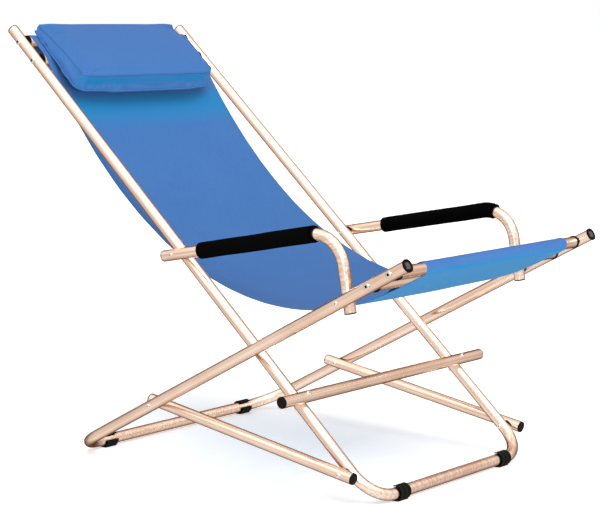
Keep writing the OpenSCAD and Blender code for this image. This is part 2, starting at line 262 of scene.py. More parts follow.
class Finish:
    def __init__(self, name, **plain):
        self.material = bpy.data.materials.new(name)
        self.material.use_nodes = True
        self.tree = self.material.node_tree
        self.shader = self.tree.nodes["Principled BSDF"]
        for key, value in plain.items():
            self.shader.inputs[key.replace("_", " ")].default_value = value

    def node(self, kind, settings=None, inputs=None, output=0):
        made = self.tree.nodes.new(kind)
        for key, value in (settings or {}).items():
            if key == "stops":
                for i, (place, colour) in enumerate(value):
                    element = made.color_ramp.elements[i] if i < 2 else made.color_ramp.elements.new(place)
                    element.position = place
                    element.color = (*colour, 1)
            else:
                setattr(made, key, value)
        pairs = inputs.items() if isinstance(inputs, dict) else enumerate(inputs or [])
        for key, value in pairs:
            if isinstance(value, Wire):
                self.tree.links.new(value.socket, made.inputs[key])
            else:
                made.inputs[key].default_value = value
        return Wire(self, made.outputs[output])

    def put(self, **links):
        for key, wire in links.items():
            self.tree.links.new(wire.socket, self.shader.inputs[key.replace("_", " ")])

    def coords(self, scale=(1, 1, 1), turn=(0, 0, 0), uv=False):
        # turned first, then stretched
        source = self.node("ShaderNodeTexCoord", None, None, "UV" if uv else "Object")
        level = self.node("ShaderNodeMapping", None, {"Vector": source, "Rotation": turn})
        return self.node("ShaderNodeMapping", None, {"Vector": level, "Scale": scale})

    def noise(self, vector, scale, detail=2.0, rough=0.5):
        return self.node("ShaderNodeTexNoise", None,
                         {"Vector": vector, "Scale": scale, "Detail": detail, "Roughness": rough}, "Fac")

    def blend(self, share, a, b):
        return self.node("ShaderNodeMix", {"data_type": "RGBA"}, {0: share, 6: a, 7: b}, 2)

    def bump(self, height, distance, strength):
        return self.node("ShaderNodeBump", None, {"Height": height, "Distance": distance, "Strength": strength})


def rgb(r, g, b):
    return (r, g, b, 1)


def metalFinish(name, look, direction):
    # satin champagne anodising with drawing lines along the tube's direction
    f = Finish(name, Metallic=1.0)
    slope = math.atan2(direction[2], direction[1]) if direction[0] == 0 else 0
    along = (0.004, 1, 1) if direction[0] else (1, 0.004, 1)
    drawn = f.coords(along, (-slope, 0, 0))
    lines = f.noise(drawn, 1500, 1.0)
    bands = f.noise(drawn, 240, 1.0, 0.5)
    cloudy = f.noise(f.coords(), 9, 3.0)
    scuffs = f.noise(f.coords((1, 1, 1), (0.5, 0.3, 0.2)), 60, 4.0, 0.7).ramp(0.66, 0.74)
    tint = f.blend((cloudy * 0.4 + bands * 0.7).ramp(0.4, 0.7), look["light"], look["deep"])
    tint = f.blend(scuffs * 0.3, tint, look["worn"])
    f.put(Base_Color=tint)
    f.put(Roughness=(lines - 0.5) * 0.08 + (cloudy - 0.5) * 0.05 + scuffs * 0.1 + look["roughness"])
    f.put(Normal=f.bump(lines * 0.25 + bands * 0.35, 0.00008, 0.5))
    return f.material


def plasticFinish(name, colour, roughness, grain=900, worn=rgb(0.03, 0.03, 0.03)):
    f = Finish(name, Specular_IOR_Level=0.07)
    pebble = f.noise(f.coords(), grain, 2.0)
    blotch = f.noise(f.coords(), 45, 3.0)
    dust = f.noise(f.coords(), 160, 4.0, 0.7).ramp(0.58, 0.72)
    f.put(Base_Color=f.blend(dust * 0.35, colour, worn))
    f.put(Roughness=(blotch - 0.5) * 0.12 + dust * 0.1 + roughness)
    f.put(Normal=f.bump(pebble, 0.00006, 0.6))
    return f.material


def foamFinish(name):
    f = Finish(name, Roughness=0.95, Specular_IOR_Level=0.02)
    cells = f.node("ShaderNodeTexVoronoi", {"feature": "F1"}, {"Vector": f.coords(), "Scale": 950.0}, "Distance")
    lumps = f.noise(f.coords(), 130, 3.0, 0.6)
    f.put(Base_Color=f.blend(cells.ramp(0.15, 0.75), rgb(0.0006, 0.0006, 0.0007), rgb(0.002, 0.002, 0.002)))
    f.put(Normal=f.bump(cells * -1.0 + lumps * 1.2, 0.0004, 0.7))
    return f.material


def clothFinish(name, look, uv=True, pitch=0.0009):
    # plain weave: warp and weft threads pass over and under each other
    f = Finish(name, Roughness=0.78, Specular_IOR_Level=0.25, Sheen_Weight=0.10, Sheen_Roughness=0.5)
    f.shader.inputs["Sheen Tint"].default_value = look["sheen"]
    parts = f.node("ShaderNodeSeparateXYZ", None, {"Vector": f.coords((1 / pitch,) * 3, uv=uv)}).socket.node
    u, v = Wire(f, parts.outputs[0]), Wire(f, parts.outputs[1])
    warp = (u * math.pi).sin().abs() * (((v + u.floor()) * math.pi).sin() * 0.5 + 0.5)
    weft = (v * math.pi).sin().abs() * (((u + v.floor() + 1.0) * math.pi).sin() * 0.5 + 0.5)
    thread = warp.max(weft)
    melange = f.noise(f.coords((1 / pitch, 0.05 / pitch, 1 / pitch), uv=uv), 0.7, 2.0)
    fade = f.noise(f.coords(uv=uv), 5.5, 3.0)
    colour = f.blend((thread * 0.5 + melange * 0.6).ramp(0.25, 0.95), look["deep"], look["light"])
    colour = f.blend(fade.ramp(0.35, 0.75) * 0.22, colour, look["faded"])
    # painted shade: where the attribute marks shade, the cloth's colour is blended towards the painted azure
    paintedShade = f.node("ShaderNodeAttribute", {"attribute_name": "paintedShade"}, None, "Fac")
    colour = f.blend(paintedShade, colour, look["paintedShade"])
    f.put(Base_Color=colour)
    f.put(Roughness=(fade - 0.5) * 0.1 + (thread - 0.5) * -0.08 + 0.8)
    f.put(Normal=f.bump(thread, 0.00025, 0.6))
    return f.material


champagne = {"light": rgb(0.94, 0.83, 0.745), "deep": rgb(0.80, 0.61, 0.50), "worn": rgb(0.95, 0.90, 0.85),
             "roughness": 0.24}
# the azure colour is painted shade, for the cloth where it faces away from the light and under the pillow
blueCloth = {"deep": rgb(0.022, 0.100, 0.29), "light": rgb(0.042, 0.145, 0.385), "faded": rgb(0.050, 0.155, 0.385),
             "paintedShade": rgb(0.001, 0.165, 0.38), "sheen": rgb(0.5, 0.6, 1.0)}
metalX = metalFinish("tubeAcross", champagne, (1, 0, 0))
metalBack = metalFinish("tubeBack", champagne, (0, backDir.x, backDir.y))
metalSeat = metalFinish("tubeSeat", champagne, (0, seatDir.x, seatDir.y))
metalRest = metalFinish("tubeArmrest", champagne, (0, restDir.x, restDir.y))
metalLink = metalFinish("tubeLink", champagne, (0, linkDir.x, linkDir.y))
blackPlastic = plasticFinish("blackPlastic", rgb(0.005, 0.005, 0.005), 0.38)
clipPlastic = plasticFinish("clipPlastic", rgb(0.004, 0.004, 0.004), 0.45, 700)
foam = foamFinish("gripFoam")
capPlastic = plasticFinish("capPlastic", rgb(0.002, 0.002, 0.002), 0.45)
hubPlastic = plasticFinish("hubPlastic", rgb(0.075, 0.06, 0.055), 0.5)
# painted shade: a near-black metal for the walls of bolt sockets and rivet holes, standing in for the shade inside them
paintedSocketShade = metalFinish("paintedSocketShade", {**champagne, "light": rgb(0.03, 0.025, 0.02), "deep": rgb(0.02, 0.015, 0.01)},
                         (1, 0, 0))
rivetMetal = metalFinish("rivetMetal", {**champagne, "light": rgb(0.88, 0.84, 0.80), "deep": rgb(0.8, 0.75, 0.7)},
                         (1, 0, 0))
boltMetal = metalFinish("boltMetal", {**champagne, "light": rgb(0.78, 0.76, 0.74), "deep": rgb(0.7, 0.68, 0.66),
                                      "roughness": 0.22}, (1, 0, 0))
slingCloth = clothFinish("slingCloth", blueCloth)
pillowCloth = clothFinish("pillowCloth", blueCloth, uv=False)
print("materials made")

for node, material in {
    "back_frame": metalBack, "seat_frame": metalSeat, "head_bar_upper": metalX, "head_bar_lower": metalX,
    "seat_bar_front": metalX, "seat_bar_rear": metalX, "cross_stretcher": metalX, "arm_right": metalRest,
    "arm_left": metalRest, "link_right": metalLink, "link_left": metalLink, "stretcher_rivets": rivetMetal,
    "arm_pivot_rivets": rivetMetal, "link_pivot_rivets": rivetMetal, "seat_pivot_rivets": rivetMetal,
    "link_rear_rivets": rivetMetal, "link_stud_right": rivetMetal, "link_stud_left": rivetMetal,
    "arm_pivot_washers": blackPlastic, "link_pivot_washers": blackPlastic, "seat_pivot_washers": blackPlastic,
    "link_washer_right": blackPlastic, "link_washer_left": blackPlastic, "head_bar_plugs": blackPlastic,
    "seat_bar_plugs": blackPlastic, "head_bar_spacers": blackPlastic, "seat_bar_spacers": blackPlastic,
    "head_bar_bolts": boltMetal, "seat_bar_bolts": boltMetal, "back_frame_caps": blackPlastic,
    "seat_frame_caps": blackPlastic, "stretcher_caps": blackPlastic, "arm_caps_right": blackPlastic,
    "arm_caps_left": blackPlastic, "link_caps_right": blackPlastic, "link_caps_left": blackPlastic,
    "front_foot_clips": clipPlastic, "rear_foot_clips": clipPlastic,
}.items():
    dressed(nodes[node], material)


# Sling: one cloth, with a sleeve round the head bars and one round the seat bars

sling = {"width": 0.458, "cloth": 0.0016, "thin": 0.6, "hem": 0.013, "gap": 0.0005, "leave": math.radians(16.8),
         "headReach": 0.470, "seatReach": 0.330, "flap": 0.012, "seam": 0.020, "step": 0.010, "slide": 0.014,
         "slideFade": 0.05, "sag": 0.004, "ripple": 0.0012, "wavyEdge": 0.0008, "rows": 110, "columns": 34,
         "split": 0.60, "seamGap": 1.2}
wrap = tube["radius"] + sling["gap"] + sling["cloth"] / 2


def local(centre, along, out, a, b):
    return centre + along * a + out * b


def arc(centre, along, out, shift, fromDeg, toDeg, steps):
    # points round a bar whose axis is shifted along the frame
    points = []
    for i in range(steps + 1):
        angle = math.radians(fromDeg + (toDeg - fromDeg) * i / steps)
        points.append(local(centre, along, out, shift + wrap * math.cos(angle), wrap * math.sin(angle)))
    return points


def spaced(p, q, step):
    count = max(1, round((q - p).length / step))
    return [p.lerp(q, i / count) for i in range(1, count)]


def bezier(a, b, c, d, t):
    s = 1 - t
    return a * s ** 3 + b * 3 * s * s * t + c * 3 * s * t * t + d * t ** 3


def slingPath():
    # from the seam under the head bars, round them, down to the seat and round the seat bars
    step = sling["step"]
    leave = turned(-backDir, sling["leave"])
    arrive = -seatDir
    top = headLower + wrap * turned(leave, -math.pi / 2)
    low = seatRear - wrap * seatUp
    pitch = (headUpper - headLower).length
    seam = top + leave * sling["seam"] - turned(leave, -math.pi / 2) * sling["cloth"] * sling["seamGap"]
    path = [seam + leave * sling["flap"], seam]
    path += arc(headLower, backDir, backOut, 0, 226, 270, 4)
    path += spaced(path[-1], local(headLower, backDir, backOut, pitch, -wrap), step)
    path += arc(headLower, backDir, backOut, pitch, -90, 90, 14)
    path += spaced(path[-1], local(headLower, backDir, backOut, 0, wrap), step)
    path += arc(headLower, backDir, backOut, 0, 90, 90 + math.degrees(sling["leave"]), 3)
    curve = (top, top + leave * sling["headReach"], low + arrive * sling["seatReach"], low)
    path += [bezier(*curve, i / sling["rows"]) for i in range(1, sling["rows"])]
    pitch = (seatFront - seatRear).length
    path += [low]
    path += spaced(low, local(seatRear, seatDir, seatUp, pitch, -wrap), step)
    path += arc(seatRear, seatDir, seatUp, pitch, -90, 90, 14)
    path += spaced(path[-1], local(seatRear, seatDir, seatUp, 0, wrap), step)
    path += arc(seatRear, seatDir, seatUp, 0, 90, 134, 4)
    seam = low + arrive * sling["seam"] + seatUp * sling["cloth"] * sling["seamGap"]
    path += [seam, seam + arrive * sling["flap"]]
    return path


slingLine = slingPath()
lengths = [0.0]
for p, q in zip(slingLine, slingLine[1:]):
    lengths.append(lengths[-1] + (q - p).length)
topRow = max(range(len(slingLine)), key=lambda i: slingLine[i].dot(backDir))
frontRow = max(range(topRow, len(slingLine)), key=lambda i: slingLine[i].dot(seatDir))
lowRow = next(i for i in range(topRow, frontRow) if (slingLine[i] - seatRear).dot(seatDir) > -0.001)
splitRow = min(range(len(lengths)), key=lambda i: abs(lengths[i] - sling["split"] * lengths[-1]))

# each end of the pillow: half widths of its base and of its top face, lower and upper
pillow = {"low": -0.108, "high": 0.069, "rise": 0.0142, "lowTop": -0.100, "highTop": 0.087, "lowThick": 0.033,
          "highThick": 0.011, "left": ((0.2215, 0.2135), (0.212, 0.200)), "right": ((0.190, 0.205), (0.184, 0.192)),
          "leftCorner": (0.90, 0.012), "rightCorner": (0.80, 0.030), "voxel": 0.0042, "pressure": 4.0, "cap": 0.005,
          "piping": 0.0019, "glow": 0.9, "belly": 0.004, "dip": 0.008}
# painted shade settings: the light's direction, how far the cloth must turn from it, and where the painted shadow under
# the pillow starts and fades
shadeSetting = {"light": Vector((-0.15, -0.25, 1)), "start": 0.24, "over": 0.42, "glowFrom": -0.02, "glowTo": 0.075,
             "glowFade": 0.055}


def share(value):
    return min(1, max(0, value))


def eased(t):
    return t * t * (3 - 2 * t)


def paintShade(piece):
    # painted shade: the cloth is painted azure where it faces down or away from the light, standing in for its shade
    light = shadeSetting["light"].normalized()
    paintedShade = piece.data.attributes.new("paintedShade", "FLOAT", "POINT")
    for vertex in piece.data.vertices:
        turnedAway = eased(share((shadeSetting["start"] - vertex.normal.dot(light)) / shadeSetting["over"]))
        # painted shade: the strip of sling in the pillow's shadow, just under its lower edge, is painted azure too
        below = pillow["low"] - (Vector((vertex.co.y, vertex.co.z)) - headLower).dot(backDir)
        near = share(below / -shadeSetting["glowFrom"] + 1) * share((shadeSetting["glowTo"] - below) / shadeSetting["glowFade"])
        paintedShade.data[vertex.index].value = max(turnedAway, near * pillow["glow"] if piece.name.startswith("sling") else 0)


def slidAt(length):
    # the cloth has crept sideways at the front bar only
    start = lengths[lowRow] - sling["slideFade"]
    middle = lengths[frontRow]
    end = 2 * middle - start
    return eased(share((length - start) / (middle - start) if length < middle else (end - length) / (end - middle)))


def acrossAt(column, columns):
    # two columns make each hem, the rest are evenly spaced
    hem = sling["hem"] / (sling["width"] / 2)
    fromEdge = min(column, columns - column)
    side = -1 if column < columns / 2 else 1
    if fromEdge < 4:
        return side * (1 - hem * (0, 0.15, 1, 1.2)[fromEdge])
    return (1 - hem * 1.2) * (2 * (column - 3) / (columns - 6) - 1)


def clothStrip(name, first, last):
    rows = last - first + 1
    columns = sling["columns"]
    deselect()
    bpy.ops.mesh.primitive_grid_add(x_subdivisions=columns, y_subdivisions=rows - 1, size=1)
    piece = named(name)
    half = sling["width"] / 2
    hem = sling["hem"] / half
    places = {}
    for vertex in piece.data.vertices:
        column = round((vertex.co.x + 0.5) * columns)
        row = first + round((vertex.co.y + 0.5) * (rows - 1))
        u = acrossAt(column, columns)
        slack = math.sin(math.pi * share((lengths[row] / lengths[-1] - 0.12) / 0.76))
        slide = sling["slide"] * slidAt(lengths[row])
        p = slingLine[row]
        before, after = slingLine[max(row - 1, 0)], slingLine[min(row + 1, len(slingLine) - 1)]
        out = turned((after - before).normalized(), -math.pi / 2)
        ripple = noise.noise(Vector((u * 2.2, lengths[row] * 7, 3.1))) * sling["ripple"] * slack
        edge = noise.noise(Vector((u * 40, lengths[row] * 30, 1.7))) * sling["wavyEdge"] * slack * abs(u) ** 6
        p = p - out * (sling["sag"] * slack * (1 - u * u) + ripple + edge)
        places[vertex.index] = (at(u * half + slide, p), abs(u) > 1 - hem * 1.1, u * half, lengths[row])
    group = piece.vertex_groups.new(name="hem")
    for index, (co, inHem, across, along) in places.items():
        piece.data.vertices[index].co = co
        group.add([index], 1.0 if inHem else sling["thin"], "REPLACE")
    for loop in piece.data.loops:
        piece.data.uv_layers[0].data[loop.index].uv = places[loop.vertex_index][2:]
    cut = splitRow if first < splitRow else first
    ends = piece.vertex_groups.new(name="cut")
    onCut = [i for i, place in places.items() if abs(place[3] - lengths[cut]) < 0.0001]
    ends.add(onCut, 1.0, "REPLACE")
    modified(piece, "SOLIDIFY", thickness=sling["cloth"], offset=0, vertex_group="hem", use_rim=True)
    # the cut keeps its edges sharp, so both lengths of cloth meet without a gap
    crease = piece.data.attributes.new("crease_edge", "FLOAT", "EDGE")
    group = piece.vertex_groups["cut"].index
    held = {v.index for v in piece.data.vertices if any(g.group == group and g.weight > 0.5 for g in v.groups)}
    for edge in piece.data.edges:
        crease.data[edge.index].value = 1.0 if set(edge.vertices) <= held else 0.0
    modified(piece, "SUBSURF", levels=1, render_levels=1)
    smooth(piece, 60)
    # painted shade: the cloth's shaded share is stored for its colour
    paintShade(piece)
    return dressed(piece, slingCloth)


slingBack = clothStrip("slingBack", 0, splitRow)
slingSeat = clothStrip("slingSeat", splitRow, len(slingLine) - 1)
for piece, nodesFor, bars, length in (
        (slingBack, ["sling", "head_sleeve"], ["head_bar_upper", "head_bar_lower"], lengths[splitRow]),
        (slingSeat, ["seat_sleeve"], ["seat_bar_front", "seat_bar_rear"], lengths[-1] - lengths[splitRow])):
    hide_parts(*nodesFor)
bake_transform(slingBack)
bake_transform(slingSeat)
print("sling made: flat length", round(lengths[-1], 3))


# Head pillow: a boxed cushion that tapers to the top, inflated by a cloth simulation

def pillowPoint(u, v, w):
    # u across (-1 to 1), v up the chair (0 to 1), w from the base (0) to the top face (1)
    (baseLow, baseHigh), (topLow, topHigh) = pillow["left"] if u < 0 else pillow["right"]
    half = (baseLow * (1 - v) + baseHigh * v) * (1 - w) + (topLow * (1 - v) + topHigh * v) * w
    along = (pillow["low"] * (1 - v) + pillow["high"] * v) * (1 - w)
    along += (pillow["lowTop"] * (1 - v) + pillow["highTop"] * v) * w
    thick = pillow["lowThick"] * (1 - v) + pillow["highThick"] * v + pillow["belly"] * math.sin(math.pi * v)
    start, rounding = pillow["leftCorner"] if u < 0 else pillow["rightCorner"]
    corner = max(0, abs(u) - start) / (1 - start)
    along += rounding * corner ** 2 * (1 - v) ** 6 * (1 - 0.5 * w)
    along -= pillow["dip"] * (1 - u * u) * (1 - v) ** 3 * (1 - w)
    return at(u * half, local(headLower, backDir, backOut, along, pillow["rise"] + thick * w))


def makePillow():
    deselect()
    bpy.ops.mesh.primitive_cube_add(size=2)
    piece = named("pillow")
    editing(piece)
    bpy.ops.mesh.select_all(action="SELECT")
    bpy.ops.mesh.subdivide(number_cuts=31)
    done(piece)
    for vertex in piece.data.vertices:
        x, y, z = vertex.co
        vertex.co = pillowPoint(x, (y + 1) / 2, (z + 1) / 2)
    modified(piece, "REMESH", mode="VOXEL", voxel_size=pillow["voxel"])
    return piece


cover = {"quality": 6, "mass": 0.2, "stiffness": 12, "bending": 0.6, "frames": 20}


def inflate(piece, pressure, cap, fixed):
    # the filling pushes the cover out; fixed points stay, and nothing moves past cap
    rest = [v.co.copy() for v in piece.data.vertices]
    group = piece.vertex_groups.new(name="fixed")
    for vertex in piece.data.vertices:
        if fixed(vertex.co):
            group.add([vertex.index], 1.0, "REPLACE")
    activate(piece)
    cloth = piece.modifiers.new("cover", "CLOTH")
    cloth.settings.quality = cover["quality"]
    cloth.settings.mass = cover["mass"]
    cloth.settings.tension_stiffness = cover["stiffness"]
    cloth.settings.compression_stiffness = cover["stiffness"]
    cloth.settings.bending_stiffness = cover["bending"]
    cloth.settings.use_pressure = True
    cloth.settings.uniform_pressure_force = pressure
    cloth.settings.vertex_group_mass = "fixed"
    cloth.settings.effector_weights.gravity = 0
    cloth.collision_settings.use_collision = False
    cloth.point_cache.frame_end = cover["frames"]
    for number in range(1, cover["frames"] + 1):
        scene.frame_set(number)
    bpy.ops.object.modifier_apply(modifier=cloth.name)
    scene.frame_set(1)
    for vertex, start in zip(piece.data.vertices, rest):
        moved = vertex.co - start
        if moved.length > cap:
            vertex.co = start + moved * (cap / moved.length)
    return piece


def offsetOf(co):
    # height of a point above the back frame's plane
    return (Vector((co.y, co.z)) - headLower).dot(backOut)


pillowPiece = makePillow()
inflate(pillowPiece, pillow["pressure"], pillow["cap"], lambda co: offsetOf(co) < pillow["rise"] + 0.002)
modified(pillowPiece, "SMOOTH", factor=0.5, iterations=2)
modified(pillowPiece, "SUBSURF", levels=1, render_levels=1)


def pipingCord(w, radius):
    # a cord along the seam round the pillow at height w
    count = 60
    outline = [(-1 + 2 * i / count, 0) for i in range(count)] + [(1, i / count) for i in range(count)]
    outline += [(1 - 2 * i / count, 1) for i in range(count)] + [(-1, 1 - i / count) for i in range(count)]
    deselect()
    bpy.ops.mesh.primitive_circle_add(vertices=len(outline), radius=1)
    cord = named("piping")
    middle = pillowPoint(0, 0.5, w)
    for vertex, (u, v) in zip(cord.data.vertices, outline):
        p = pillowPoint(u, v, w)
        vertex.co = p + (p - middle).normalized() * radius
    modified(cord, "SHRINKWRAP", target=pillowPiece, offset=radius * 0.75)
    modified(cord, "SMOOTH", factor=0.5, iterations=3)
    activate(cord)
    bpy.ops.object.convert(target="CURVE")
    cord.data.bevel_depth = radius
    cord.data.bevel_resolution = 2
    bpy.ops.object.convert(target="MESH")
    cord.data.materials.clear()
    return bpy.context.object


pillowPiece = joined([pillowPiece, pipingCord(0.04, pillow["piping"]), pipingCord(1.0, pillow["piping"] * 0.4)],
                     "headPillow")
smooth(pillowPiece, 80)
# painted shade: the pillow's walls that face away from the light are painted azure
paintShade(pillowPiece)
dressed(pillowPiece, pillowCloth)
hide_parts("pillow")
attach(pillowPiece, "back")
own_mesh(pillowPiece)
print("pillow made:", len(pillowPiece.data.polygons), "faces")


# Foam grips

grip = {"radius": 0.0156, "round": 0.0035, "rings": 60, "sides": 40, "wobble": 0.0006, "length": 0.279,
        "right": 0.071, "left": 0.091, "clear": 0.0002, "hollow": 0.0012}
tangent = armrest["bend"] * math.tan(restDir.angle(legDir) / 2)
across = armFront - armRear
restLength = (across.x * legDir.y - across.y * legDir.x) / (restDir.x * legDir.y - restDir.y * legDir.x)
bendStart = armRear + restDir * (restLength - tangent)
bendMiddle = bendStart + legDir * armrest["bend"]


def alongArm(distance):
    # a point of the armrest's line, and its direction there
    past = distance - (restLength - tangent)
    if past <= 0:
        return armRear + restDir * distance, restDir
    angle = past / armrest["bend"]
    return bendMiddle + turned(bendStart - bendMiddle, angle), turned(restDir, angle)


def makeGrip(side):
    length = grip["length"]
    deselect()
    bpy.ops.mesh.primitive_cylinder_add(vertices=grip["sides"], radius=grip["radius"], depth=length,
                                        end_fill_type="NGON")
    piece = named("grip" + side.capitalize())
    pickFaces(piece, lambda face: abs(face.normal.z) > 0.9)
    bpy.ops.mesh.inset(thickness=grip["radius"] - tube["radius"] - grip["clear"], use_individual=True)
    bpy.ops.mesh.delete(type="FACE")
    bpy.ops.object.mode_set(mode="OBJECT")
    for edge in piece.data.edges:
        a, b = (piece.data.vertices[i].co for i in edge.vertices)
        edge.select = abs(a.z - b.z) > length * 0.9
    bpy.ops.object.mode_set(mode="EDIT")
    bpy.ops.mesh.select_mode(type="EDGE")
    bpy.ops.mesh.subdivide(number_cuts=grip["rings"])
    done(piece)
    for vertex in piece.data.vertices:
        if math.hypot(vertex.co.x, vertex.co.y) < grip["radius"] * 0.9:
            vertex.co.z -= math.copysign(grip["hollow"], vertex.co.z)
    modified(piece, "BEVEL", width=grip["round"], segments=4, limit_method="ANGLE", angle_limit=math.radians(50))
    seed = 5.0 if side == "left" else 2.0
    sideways = armrest["layer"] if side == "left" else -armrest["layer"]
    for vertex in piece.data.vertices:
        co = vertex.co
        puff = noise.noise(Vector((co.x * 30, co.y * 30, co.z * 18 + seed))) * grip["wobble"]
        scale = 1 + (puff - grip["wobble"] * 0.4) / grip["radius"]
        p, direction = alongArm(grip[side] + length / 2 + co.z)
        vertex.co = at(sideways + co.x * scale, p + turned(direction, -math.pi / 2) * co.y * scale)
    tidyNormals(piece)
    smooth(piece, 60)
    dressed(piece, foam)
    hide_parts("arm_grip_" + side)
    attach(piece, "arm_" + side)
    return piece


for side in ("right", "left"):
    makeGrip(side)
print("grips made")


# The seat frame's front caps: a raised rim, a groove and a hub

# each ring of a cap's face: how far in, and how far up or down from there
cap = {"radius": 0.0122, "thick": 0.003, "plug": 0.0094, "plugLong": 0.014, "sideX": 0.299, "pastBar": 0.037,
       "hub": 0.006, "rings": ((0.0022, 0), (0.0005, -0.0014), (0.0024, 0), (0.0004, 0.0009), (0.0024, 0),
                               (0.0004, -0.0008))}


def makeCap(place, name):
    deselect()
    bpy.ops.mesh.primitive_cylinder_add(vertices=48, radius=cap["radius"], depth=cap["thick"],
                                        location=(0, 0, -cap["thick"] / 2))
    piece = named(name)
    bpy.ops.object.transform_apply(location=True)
    pickFaces(piece, lambda face: face.normal.z > 0.9)
    for inwards, up in cap["rings"]:
        bpy.ops.mesh.inset(thickness=inwards)
        bpy.ops.transform.translate(value=(0, 0, up))
    pickFaces(piece, lambda face: face.normal.z < -0.9)
    bpy.ops.mesh.inset(thickness=cap["radius"] - cap["plug"])
    bpy.ops.mesh.extrude_region_move(TRANSFORM_OT_translate={"value": (0, 0, -cap["plugLong"])})
    done(piece)
    modified(piece, "BEVEL", width=0.0004, segments=3, limit_method="ANGLE", angle_limit=math.radians(40))
    smooth(piece, 40)
    return placed(piece, place)


capFace = seatFront + seatDir * cap["pastBar"]
caps = joined([makeCap(facing(at(x, capFace), at(0, seatDir)), "cap") for x in (-cap["sideX"], cap["sideX"])],
              "seatCaps")
dressed(caps, capPlastic)
caps.data.materials.append(hubPlastic)
for face in caps.data.polygons:
    fromFace = (Vector((face.center.y, face.center.z)) - capFace).length
    if fromFace < cap["hub"] and abs(abs(face.center.x) - cap["sideX"]) < cap["hub"]:
        face.material_index = 1
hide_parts("seat_frame_caps")
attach(caps, "seat")


# Floor clips: a ribbed C with its mouth towards the inside of its frame, and a flat pad

clip = {"inner": 0.01105, "outer": 0.0140, "height": 0.0145, "width": 0.031, "mouth": 0.010,
        "rib": 0.0005, "band": 0.006, "pad": 0.0143, "padThick": 0.004}


def makeClip(name, turn):
    # along X, its mouth turned away from +Y and its pad towards -Z
    deselect()
    bpy.ops.mesh.primitive_cylinder_add(vertices=96, radius=clip["outer"], depth=clip["width"],
                                        end_fill_type="NOTHING")
    piece = named(name)
    edge = clip["width"] / 2 - clip["band"]
    editing(piece)
    for x in (-edge, -edge * 0.35, edge * 0.35, edge):
        bpy.ops.mesh.select_all(action="SELECT")
        bpy.ops.mesh.bisect(plane_co=(0, 0, x), plane_no=(0, 0, 1))
    half = math.asin(clip["mouth"] / 2 / clip["outer"])
    pickFaces(piece, lambda face: abs(math.atan2(face.center.x, face.center.y)) < half)
    bpy.ops.mesh.delete(type="FACE")
    pickFaces(piece, lambda face: abs(face.center.z) > edge or abs(face.center.z) < edge * 0.35)
    bpy.ops.mesh.extrude_region_shrink_fatten(TRANSFORM_OT_shrink_fatten={"value": clip["rib"]})
    done(piece)
    modified(piece, "SOLIDIFY", thickness=clip["outer"] - clip["inner"], offset=-1, use_rim=True)
    deselect()
    bpy.ops.mesh.primitive_cube_add(size=1, scale=(clip["width"], clip["pad"], clip["padThick"]),
                                    location=(0, 0, clip["padThick"] / 2 - clip["height"]))
    pad = named("pad")
    bpy.ops.object.transform_apply(location=True, scale=True)
    placed(piece, Matrix.Rotation(turn, 4, "X") @ Matrix.Rotation(math.pi / 2, 4, "Y"))
    piece = joined([piece, pad], name)
    modified(piece, "BEVEL", width=0.0004, segments=2, limit_method="ANGLE", angle_limit=math.radians(50))
    return smooth(piece, 40)


for node, name, body, bar, side in (("front_foot_clips", "frontClips", "back", frontBar, backDir),
                                    ("rear_foot_clips", "rearClips", "seat", rearBar, seatDir)):
    low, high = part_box(node)
    pair = []
    for x in (high.x - clip["width"] / 2, low.x + clip["width"] / 2):
        one = makeClip("clip", math.atan2(side.y, side.x))
        pair.append(placed(one, Matrix.Translation((x, bar, clip["height"]))))
    clips = joined(pair, name)
    dressed(clips, clipPlastic)
    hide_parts(node)
    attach(clips, body)
print("caps and clips made")


# Rivets and bolts: domed heads on plain shanks

rivet = {"radius": 0.005, "high": 0.0022, "hole": 0.0012, "sides": 16, "sunk": 0.0012}
bolt = {"radius": 0.00625, "high": 0.003, "hole": 0.0029, "sides": 6, "sunk": 0.0019}
shanks = {"radius": 0.003, "skirt": 0.0008, "backInner": (0.234, 0.283), "seatOuter": (0.261, 0.310),
          "linkStud": (0.261, 0.2879), "linkRear": (0.2881, 0.310), "headBolt": (0.217, 0.256),
          "seatBolt": (0.271, 0.310), "stretcherX": 0.245, "stretcherHalf": 0.022}


def makeHead(name, look, metal):
    # its seat at the origin, looking along +Z
    high, hole = look["high"], look["hole"]
    deselect()
    bpy.ops.mesh.primitive_cylinder_add(vertices=36, radius=look["radius"], depth=high + shanks["skirt"],
                                        location=(0, 0, (high - shanks["skirt"]) / 2))
    piece = named(name)
    bpy.ops.object.transform_apply(location=True)
    modified(piece, "BEVEL", width=high * 0.55, segments=5, limit_method="ANGLE", angle_limit=math.radians(50))
    deselect()
    bpy.ops.mesh.primitive_cylinder_add(vertices=look["sides"], radius=hole, depth=look["sunk"] * 2,
                                        location=(0, 0, high))
    cutter = named("cutter")
    bpy.ops.object.transform_apply(location=True)
    modified(piece, "BOOLEAN", operation="DIFFERENCE", object=cutter, solver="EXACT")
    bpy.data.objects.remove(cutter)
    dressed(piece, metal)
    # painted shade: the walls of the socket or hole take the near-black metal
    piece.data.materials.append(paintedSocketShade)
    for face in piece.data.polygons:
        if math.hypot(face.center.x, face.center.y) < hole * 1.01 and 0 < face.center.z < high - 0.0001:
            face.material_index = 1
    return smooth(piece, 35)


rivetHead = makeHead("rivetHead", rivet, rivetMetal)
boltHead = makeHead("boltHead", bolt, boltMetal)


